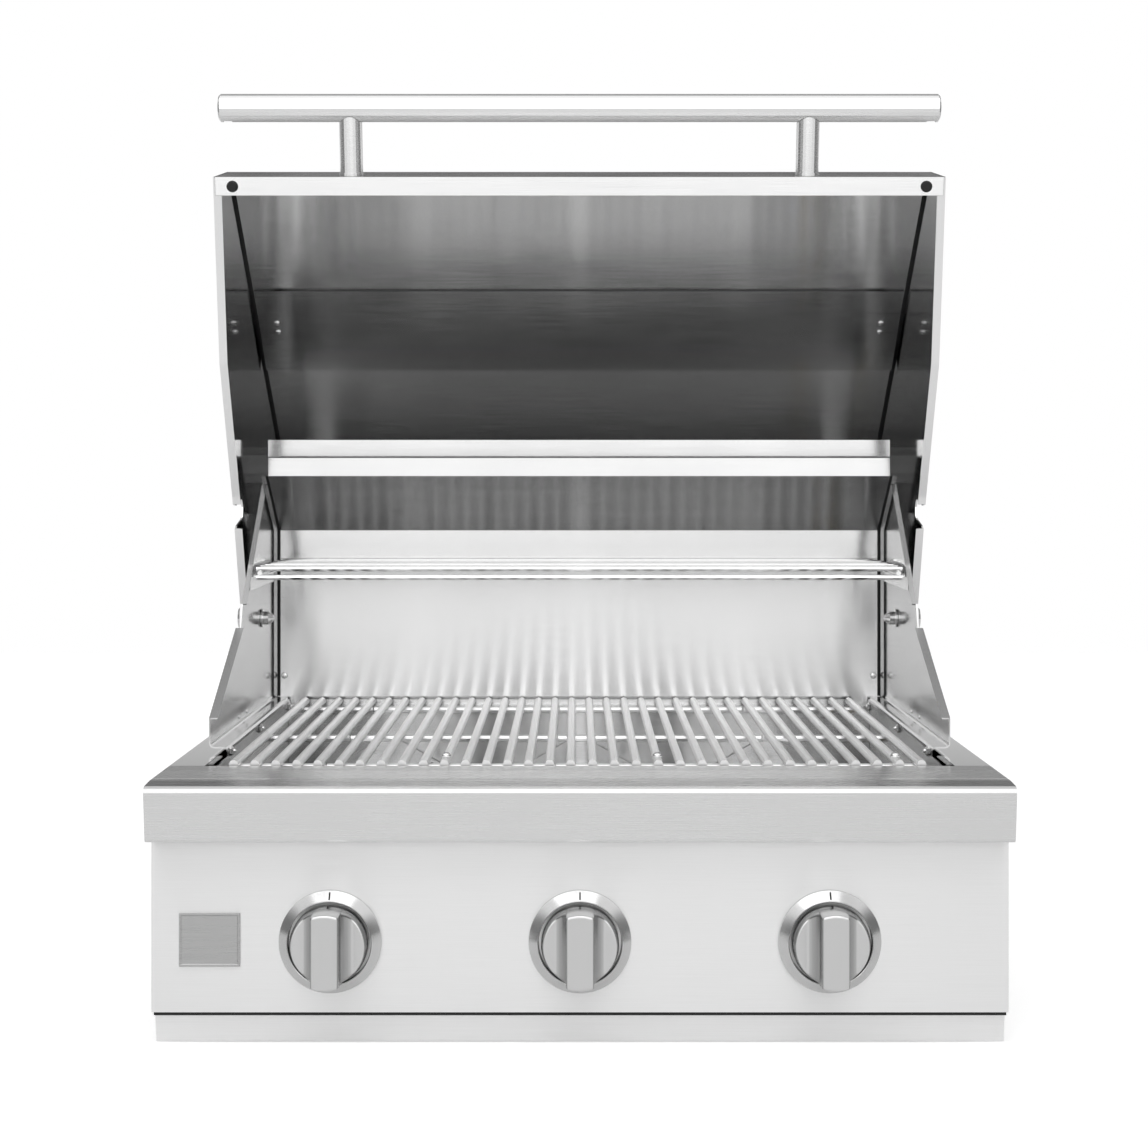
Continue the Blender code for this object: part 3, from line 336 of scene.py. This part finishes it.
def paint_flute_shade(tree_nodes, links, colour, normals, faded_share):
    """Paints shade on the slopes of a flute, darker as their normals turn sideways from the first share to
    the second.
    """
    facing = split_up(tree_nodes, links, "Normal")
    aside = worked(tree_nodes, links, "ABSOLUTE", facing["X"])
    return scaled(tree_nodes, links, colour, ranged(tree_nodes, links, aside, normals, 1, faded_share))


def toned(tree_nodes, links, lines, tone, contrast, colour):
    """Colour that is a little darker in the grain's lines."""
    ramp = tree_nodes.new("ShaderNodeValToRGB")
    dark = [tone * (1 - contrast) * share for share in colour]
    bright = [tone * share for share in colour]
    for element, position, shade in zip(ramp.color_ramp.elements, noise_reach, (dark, bright)):
        element.position = position
        element.color = (*shade, 1)
    links.new(lines, ramp.inputs["Fac"])
    return ramp.outputs["Color"]


def brushed(name, tone, roughness, grain, anisotropy=0.85, relief=0.03, contrast=0.035, colour=(1, 1, 1),
            painted_shade=None, flute_painted_shade=None):
    """Brushed metal: fine lines along the grain axis, soft clouds of sheen, faint changes of tone."""
    material, tree_nodes, links = new_material(name)
    shader = tree_nodes["Principled BSDF"]
    shader.inputs["Metallic"].default_value = 1
    shader.inputs["Anisotropic"].default_value = anisotropy
    shader.inputs["Anisotropic Rotation"].default_value = grain_turn
    stretch = [1, 1, 1]
    stretch["XYZ".index(grain)] = grain_long_share
    lines = noise(tree_nodes, links, stretch, grain_scale, grain_detail)
    clouds = noise(tree_nodes, links, (1, 1, 1), cloud_scale, cloud_detail)
    along = tree_nodes.new("ShaderNodeCombineXYZ")
    along.inputs[grain].default_value = 1
    links.new(along.outputs["Vector"], shader.inputs["Tangent"])
    low, high = roughness * (1 - roughness_spread_share), roughness * (1 + roughness_spread_share)
    sheen = worked(tree_nodes, links, "ADD", ranged(tree_nodes, links, lines, noise_reach, low, high),
                   ranged(tree_nodes, links, clouds, noise_reach, -cloud_roughness, cloud_roughness))
    links.new(sheen, shader.inputs["Roughness"])
    painted = toned(tree_nodes, links, lines, tone, contrast, colour)
    # painted shade by facing and height, where a finish gives one
    if painted_shade:
        painted = paint_shade_by_facing(tree_nodes, links, painted, **painted_shade)
    # painted shade on flute slopes, where a finish gives one
    if flute_painted_shade:
        painted = paint_flute_shade(tree_nodes, links, painted, **flute_painted_shade)
    links.new(painted, shader.inputs["Base Color"])
    bump = tree_nodes.new("ShaderNodeBump")
    bump.inputs["Strength"].default_value = relief
    bump.inputs["Distance"].default_value = grain_relief
    links.new(lines, bump.inputs["Height"])
    links.new(bump.outputs["Normal"], shader.inputs["Normal"])
    return material


def make_materials():
    """Makes every finish, puts one on each solid and returns them by name."""
    metals = {name: brushed(name, **values) for name, values in finishes.items()}
    rubber_and_painted_shade = metals["rubber_and_painted_shade"].node_tree.nodes["Principled BSDF"]
    rubber_and_painted_shade.inputs["Metallic"].default_value = 0
    rubber_and_painted_shade.inputs["Specular IOR Level"].default_value = rubber_specular
    for name, node in nodes.items():
        worn = next((finish for finish, starts in worn_by.items() if name.startswith(starts)), "panel steel")
        for index in range(len(node.material_slots)):
            node.material_slots[index].material = metals[worn]
    return metals


def add_piece(name, shape, material, body):
    """Turns a bmesh into an object that rides on a body."""
    bmesh.ops.recalc_face_normals(shape, faces=shape.faces)
    mesh = bpy.data.meshes.new(name)
    shape.to_mesh(mesh)
    shape.free()
    mesh.materials.append(material)
    piece = bpy.data.objects.new(name, mesh)
    bpy.context.scene.collection.objects.link(piece)
    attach(piece, body)
    return piece


def crease(shape):
    """Smooth shading everywhere but over the sharp edges."""
    for face in shape.faces:
        face.smooth = True
    for edge in shape.edges:
        edge.smooth = not edge.is_manifold or edge.calc_face_angle() < crisp_angle


def turned(name, profile, centre, axis, material, body, segments=round_segments, ring=False):
    """A closed round form: profile lists (radius, height) from and to radius zero, or a ring's outline."""
    shape = bmesh.new()
    rims = [shape.verts.new((radius, 0, height)) for radius, height in profile]
    edges = [shape.edges.new(pair) for pair in zip(rims, rims[1:])]
    if ring:
        edges.append(shape.edges.new((rims[-1], rims[0])))
    bmesh.ops.spin(shape, geom=rims + edges, cent=(0, 0, 0), axis=(0, 0, 1), angle=2 * math.pi,
                   steps=segments, use_merge=True)
    bmesh.ops.remove_doubles(shape, verts=shape.verts, dist=merge_gap)
    turn = Vector((0, 0, 1)).rotation_difference(Vector(axis)).to_matrix().to_4x4()
    shape.transform(Matrix.Translation(centre) @ turn)
    crease(shape)
    return add_piece(name, shape, material, body)


def dome(size, foot_share):
    """Profile of a low round head on a short straight foot; size holds its radius and height."""
    radius, height = size
    foot = height * foot_share
    angles = [math.pi / 2 * step / dome_steps for step in range(dome_steps)]
    rise = [(radius * math.cos(angle), foot + (height - foot) * math.sin(angle)) for angle in angles]
    return [(0, 0), (radius, 0)] + rise + [(0, height)]


def strip(name, sections, material, body):
    """Skins a run of equal four-cornered sections and closes both ends."""
    shape = bmesh.new()
    rings = [[shape.verts.new(corner) for corner in section] for section in sections]
    for near, far in zip(rings, rings[1:]):
        for index in range(len(near)):
            following = (index + 1) % len(near)
            shape.faces.new((near[index], near[following], far[following], far[index]))
    shape.faces.new(rings[0][::-1])
    shape.faces.new(rings[-1])
    return add_piece(name, shape, material, body)


def box_shape(low, high):
    """An upright box between two corners."""
    shape = bmesh.new()
    bmesh.ops.create_cube(shape, size=1)
    low, high = Vector(low), Vector(high)
    bmesh.ops.scale(shape, vec=high - low, verts=shape.verts)
    bmesh.ops.translate(shape, vec=(low + high) / 2, verts=shape.verts)
    return shape


def rounded_corners(corners):
    """Points of a path whose inner corners carry a radius as their third number."""
    points = [Vector(corners[0][:2])]
    for before, corner, after in zip(corners, corners[1:], corners[2:]):
        place = Vector(corner[:2])
        back = (Vector(before[:2]) - place).normalized()
        ahead = (Vector(after[:2]) - place).normalized()
        half = back.angle(ahead) / 2
        middle = place + (back + ahead).normalized() * corner[2] / math.sin(half)
        start = place + back * corner[2] / math.tan(half) - middle
        sweep = start.angle_signed(place + ahead * corner[2] / math.tan(half) - middle)
        for step in range(fillet_steps + 1):
            points.append(middle + Matrix.Rotation(-sweep * step / fillet_steps, 2) @ start)
    points.append(Vector(corners[-1][:2]))
    return points


def opened(point):
    """Swings a point (y, z) of the shut hood into its drawn, open place."""
    hinge = Vector(hinge_place[1:])
    return Matrix.Rotation(-open_angle, 2) @ (point - hinge) + hinge


def make_corner_shades(material):
    """Black strips in the corners between the hood's sheet and its end plates, as painted shade."""
    path = rounded_corners(hood_corners)
    for side, hand in sides:
        outer, inner = side * (hood_half - hood_sheet), side * (hood_half - hood_sheet - corner_shade_width)
        sections = []
        for before, point, after in zip(path, path[1:], path[2:]):
            along = (after - before).normalized()
            inward = Vector((-along.y, along.x))
            low, high = point + inward * hood_sheet, point + inward * (hood_sheet + corner_shade_rise)
            corners = ((outer, low), (outer, high), (inner, high), (inner, low))
            sections.append([(x, *opened(place)) for x, place in corners])
        strip(f"hood_corner_shade_{hand}", sections, material, "hood")


def make_head(name, size, centre, axis, metal, body, foot_share=head_foot_share, segments=round_segments):
    turned(name, dome(size, foot_share), centre, axis, metal, body, segments)


def make_screws(metal):
    """Screws, bolts and rivets that hold the shield, the firebox walls, the back liner and the cheeks."""
    for side, hand in sides:
        inward = (-side, 0, 0)
        for number, (y, z) in enumerate(shield_screws, 1):
            make_head(f"shield_screw_{hand}_{number}", screw_head, (side * shield_screw_half, y, z),
                      shield_normal, metal, "hood")
        for number, (y, z) in enumerate(wall_bolts, 1):
            centre = (side * wall_half, y, z)
            make_head(f"wall_nut_{hand}_{number}", wall_nut, centre, inward, metal, "grill_body",
                      bolt_foot_share, nut_sides)
            make_head(f"wall_stud_{hand}_{number}", wall_stud, centre, inward, metal, "grill_body",
                      bolt_foot_share)
        make_head(f"liner_screw_{hand}", screw_head, (side * liner_screw_half, *liner_screw), (0, -1, 0),
                  metal, "grill_body")
        for number, (y, z) in enumerate(cheek_rivets, 1):
            make_head(f"cheek_rivet_{hand}_{number}", rivet_head, (side * cheek_half, y, z), inward, metal,
                      "grill_body")


def make_bar_domes(metal):
    """Bright dots near the front ends of three grate bars."""
    for grate, x in domed_bars:
        turned(f"bar_dome_{grate}", dome(bar_dome, head_foot_share), (x, dome_y, dome_z), (0, 0, 1), metal,
               f"grate_{grate}")


def make_badge(metal):
    """Bare plate with a sunk middle and soft edges."""
    (middle_x, middle_z), (width, height) = badge_middle, badge_size
    shape = box_shape((middle_x - width / 2, panel_face_y - badge_thickness, middle_z - height / 2),
                      (middle_x + width / 2, panel_face_y, middle_z + height / 2))
    front = [face for face in shape.faces if face.normal.y < 0 and abs(face.normal.y) > abs(face.normal.x)
             and abs(face.normal.y) > abs(face.normal.z)]
    bmesh.ops.inset_region(shape, faces=front, thickness=badge_border, depth=0)
    bmesh.ops.inset_region(shape, faces=front, thickness=badge_sink, depth=-badge_sink)
    rim = [edge for edge in shape.edges if edge.calc_face_angle(0) > crisp_angle]
    bmesh.ops.bevel(shape, geom=rim, offset=badge_sink / 2, segments=badge_bevel_steps, profile=0.5,
                    affect="EDGES", material=-1)
    add_piece("badge_plate", shape, metal, "grill_body")


def make_bezel(number, x, metal):
    """Ring round a knob: a shallow cone with a rounded lip and rim."""
    lip, rim = Vector(bezel_lip), Vector(bezel_rim)
    ease = bezel_round * bezel_ease_share
    inside = [(bezel_bore, bezel_foot), (bezel_bore, lip.y - bezel_round), (bezel_bore + ease, lip.y - ease)]
    outside = [(bezel_radius - ease / 2, rim.y - ease), (bezel_radius, rim.y - bezel_round),
               (bezel_radius, bezel_foot)]
    outline = inside + [tuple(lip), tuple(rim)] + outside
    piece = turned(f"bezel_ring_{number}", outline, (x, panel_face_y, knob_z), (0, -1, 0), metal,
                   "grill_body", segments=round_steps, ring=True)
    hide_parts(f"knob_bezel_{number}")


def knob_face(reach):
    """Height of a knob's front at a distance from its middle: grip bar, concave flute, then the floor."""
    if reach <= grip_half:
        share = max(0, reach - grip_half + grip_bevel) / grip_bevel
        return knob_height - grip_bevel * (1 - math.sqrt(1 - share ** 2))
    share = max(0, grip_half + flute_radius - reach) / flute_radius
    beyond = max(0, reach - grip_half - flute_radius)
    return knob_floor + flute_radius * flute_lift_share * share ** flute_power + beyond * knob_floor_slope


def knob_reaches():
    """Distances from the knob's middle at which its front is drawn, closer together where it bends."""
    quarter = [math.pi / 2 * step / knob_columns for step in range(knob_columns + 1)]
    reaches = {0, grip_half, grip_half + grip_wall}
    reaches.update(knob_nose_radius * math.sin(angle) for angle in quarter)
    reaches.update(grip_half - grip_bevel * (1 - math.sin(angle)) for angle in quarter[::bevel_stride])
    flute_angles = quarter[flute_stride::flute_stride]
    reaches.update(grip_half + flute_radius * (1 - math.cos(angle)) for angle in flute_angles)
    return sorted(reaches)


def knob_front(shape, x):
    """Draws a knob's front, slightly rounded at its rim, and returns the vertices round that rim."""
    reaches = knob_reaches()
    rows = [math.sin(math.pi / 2 * step / knob_rows) for step in range(-knob_rows, knob_rows + 1)]
    grid = []
    for across in [-reach for reach in reversed(reaches[1:])] + reaches:
        half = math.sqrt(max(0, knob_nose_radius ** 2 - across ** 2))
        column = []
        for share in rows:
            out = math.hypot(across, half * share)
            near = min(1, max(0, out - knob_nose_radius + knob_edge) / knob_edge)
            height = knob_face(abs(across)) - knob_edge * (1 - math.sqrt(1 - near ** 2))
            column.append(shape.verts.new((x + across, panel_face_y - height, knob_z + half * share)))
        grid.append(column)
    for left, right in zip(grid, grid[1:]):
        for index in range(len(rows) - 1):
            shape.faces.new((left[index], left[index + 1], right[index + 1], right[index]))
    return [column[-1] for column in grid] + [column[0] for column in reversed(grid[1:-1])]


def make_knob(number, x, metal):
    """Round knob with a grip bar between two flutes, on a plain skirt."""
    shape = bmesh.new()
    rim = knob_front(shape, x)
    for height in (knob_shoulder, knob_base):
        ring = []
        for vertex in rim:
            away = Vector((vertex.co.x - x, 0, vertex.co.z - knob_z)).normalized() * knob_radius
            ring.append(shape.verts.new((x + away.x, panel_face_y - height, knob_z + away.z)))
        for index in range(len(rim)):
            following = (index + 1) % len(rim)
            shape.faces.new((rim[index], rim[following], ring[following], ring[index]))
        rim = ring
    shape.faces.new(rim)
    bmesh.ops.remove_doubles(shape, verts=shape.verts, dist=merge_gap)
    bmesh.ops.recalc_face_normals(shape, faces=shape.faces)
    crease(shape)
    piece = add_piece(f"knob_body_{number}", shape, metal, f"knob_{number}")
    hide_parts(f"knob_{number}")


def make_ticks(black_finish):
    """Pointer lines: one on each bezel's slope and one on each knob's skirt."""
    (inner, lip), (outer, rim) = bezel_lip, bezel_rim
    slope = Vector((outer - inner, lip - rim)).normalized()
    rise = Vector((slope.y, slope.x)) * tick_depth
    near, far = (panel_face_y - reach for reach in knob_tick_reach)
    low, high = knob_z + knob_tick_rise, knob_z + knob_tick_rise + tick_depth
    for number, x in enumerate(knob_x, 1):
        left, right = x - tick_width / 2, x + tick_width / 2
        sections = []
        for share in bezel_tick_shares:
            y = panel_face_y - lip - (rim - lip) * share
            z = knob_z + inner + (outer - inner) * share
            sections.append([(left, y, z), (right, y, z), (right, y - rise.y, z + rise.x),
                             (left, y - rise.y, z + rise.x)])
        strip(f"bezel_tick_{number}", sections, black_finish, "grill_body")
        shape = box_shape((left, far, low), (right, near, high))
        add_piece(f"knob_tick_{number}", shape, black_finish, f"knob_{number}")


def make_gap_shades(black_finish, metal):
    """Black strip painting shade and a narrow flange in each gap beside the back liner, and a black strip
    painting shade over the drip tray.
    """
    # the black strip beside the back liner paints the shade of the gap
    kinds = (("liner_gap_shade", liner_gap_shade_reach, 0, black_finish, "bumper_rubber"),
             ("liner_gap_flange", liner_gap_flange_reach, liner_gap_flange_lean, metal, "liner_steel"))
    for side, hand in sides:
        for name, reach, lean, material, slot in kinds:
            near, far = side * reach[0], side * reach[1]
            sections = []
            for y, z in liner_gap_path:
                sections.append([(near, y, z), (far, y - lean, z), (far, y - lean + liner_gap_sheet, z),
                                 (near, y + liner_gap_sheet, z)])
            strip(f"{name}_{hand}", sections, material, "grill_body")
    # black strip over the drip tray: painted shade in the gap between panel and tray
    shape = box_shape((-tray_gap_shade_half, tray_gap_shade_y[0], tray_gap_shade_z[0]),
                      (tray_gap_shade_half, tray_gap_shade_y[1], tray_gap_shade_z[1]))
    add_piece("tray_gap_shade", shape, black_finish, "grill_body")


def make_trims(metal, ledge_metal):
    """Low ridge along the top of the bullnose, and small ledges at the front corners of the firebox."""
    sections = [[(x, y, z) for y, z in ridge_path] for x in (-ridge_half, ridge_half)]
    strip("nose_ridge", sections, metal, "grill_body")
    for side, hand in sides:
        low, high = sorted(side * reach for reach in ledge_x)
        shape = box_shape((low, ledge_y[0], ledge_z[0]), (high, ledge_y[1], ledge_z[1]))
        add_piece(f"corner_ledge_{hand}", shape, ledge_metal, "grill_body")


def make_floor():
    """Pale floor that keeps the shadow; what the camera sees of it is lifted towards white."""
    mesh = bpy.data.meshes.new("floor")
    shape = bmesh.new()
    bmesh.ops.create_grid(shape, x_segments=1, y_segments=1, size=floor_half)
    bmesh.ops.translate(shape, verts=shape.verts, vec=(0, 0, cad_box[0][2] - floor_drop))
    shape.to_mesh(mesh)
    shape.free()
    floor = bpy.data.objects.new("floor", mesh)
    bpy.context.scene.collection.objects.link(floor)
    material, tree_nodes, links = new_material("floor paint")
    shader = tree_nodes["Principled BSDF"]
    shader.inputs["Base Color"].default_value = (floor_grey, floor_grey, floor_grey, 1)
    shader.inputs["Roughness"].default_value = floor_roughness
    shader.inputs["Emission Color"].default_value = (1, 1, 1, 1)
    path = tree_nodes.new("ShaderNodeLightPath").outputs
    seen = worked(tree_nodes, links, "MAXIMUM", path["Is Camera Ray"], path["Is Transmission Ray"])
    links.new(ranged(tree_nodes, links, seen, (0, 1), 0, floor_glow), shader.inputs["Emission Strength"])
    mesh.materials.append(material)


def make_world():
    """White for the camera, mirrors and glass, dimmer as a light. All but the camera find it darker to both
    sides and high behind.
    """
    world = bpy.data.worlds.new("studio")
    bpy.context.scene.world = world
    world.use_nodes = True
    tree_nodes, links = world.node_tree.nodes, world.node_tree.links
    background = tree_nodes["Background"]
    background.inputs["Color"].default_value = (1, 1, 1, 1)
    path = tree_nodes.new("ShaderNodeLightPath").outputs
    toward = split_up(tree_nodes, links, "Generated")
    seen = worked(tree_nodes, links, "MAXIMUM", path["Is Camera Ray"], path["Is Glossy Ray"])
    clear = worked(tree_nodes, links, "MAXIMUM", seen, path["Is Transmission Ray"])
    strength = ranged(tree_nodes, links, clear, (0, 1), world_fill, camera_white)
    aside = worked(tree_nodes, links, "ABSOLUTE", toward["X"])
    flank = ranged(tree_nodes, links, aside, flank_reach, 1, flank_share, fade="SMOOTHSTEP")
    rearward = ranged(tree_nodes, links, toward["Y"], rear_reach)
    raised = ranged(tree_nodes, links, toward["Z"], rear_rise)
    both = worked(tree_nodes, links, "MULTIPLY", rearward, raised)
    rear = ranged(tree_nodes, links, both, (0, 1), 1, rear_share)
    dimmed = worked(tree_nodes, links, "MULTIPLY", flank, rear)
    shown = worked(tree_nodes, links, "MAXIMUM", dimmed, path["Is Camera Ray"])
    links.new(worked(tree_nodes, links, "MULTIPLY", strength, shown), background.inputs["Strength"])


def make_camera():
    """Level camera in front, shifted so that the photograph's frame comes out."""
    camera = bpy.data.objects.new("camera", bpy.data.cameras.new("camera"))
    bpy.context.scene.collection.objects.link(camera)
    camera.location = camera_place
    camera.rotation_euler = (math.pi / 2, 0, 0)
    camera.data.sensor_fit = "HORIZONTAL"
    camera.data.sensor_width = sensor_width
    camera.data.lens = sensor_width * focal_px / picture_width_px
    camera.data.shift_x = (picture_width_px / 2 - principal_px[0]) / picture_width_px
    camera.data.shift_y = (principal_px[1] - picture_height_px / 2) / picture_width_px
    bpy.context.scene.camera = camera


def make_lamp(name, place, target, size, power):
    """Soft lamp with a wide face, turned to its target."""
    data = bpy.data.lights.new(name, "AREA")
    data.shape = "RECTANGLE"
    data.size, data.size_y = size
    data.energy = power
    lamp = bpy.data.objects.new(name, data)
    bpy.context.scene.collection.objects.link(lamp)
    lamp.location = place
    lamp.rotation_euler = (Vector(target) - Vector(place)).to_track_quat("-Z", "Y").to_euler()


metals = make_materials()
# black strips painting shade in the hood's corners
make_corner_shades(metals["rubber_and_painted_shade"])
make_screws(metals["polished steel"])
make_bar_domes(metals["polished steel"])
make_badge(metals["badge metal"])
for number, x in enumerate(knob_x, 1):
    make_bezel(number, x, metals["bezel metal"])
    make_knob(number, x, metals["knob metal"])
make_ticks(metals["rubber_and_painted_shade"])
# black strips painting shade in the gaps beside the back liner and over the drip tray
make_gap_shades(metals["rubber_and_painted_shade"], metals["cheek steel"])
make_trims(metals["polished steel"], metals["badge metal"])
make_floor()
make_world()
make_camera()
for name, values in lamps.items():
    make_lamp(name, *values)

bpy.context.scene.view_settings.view_transform = "Standard"
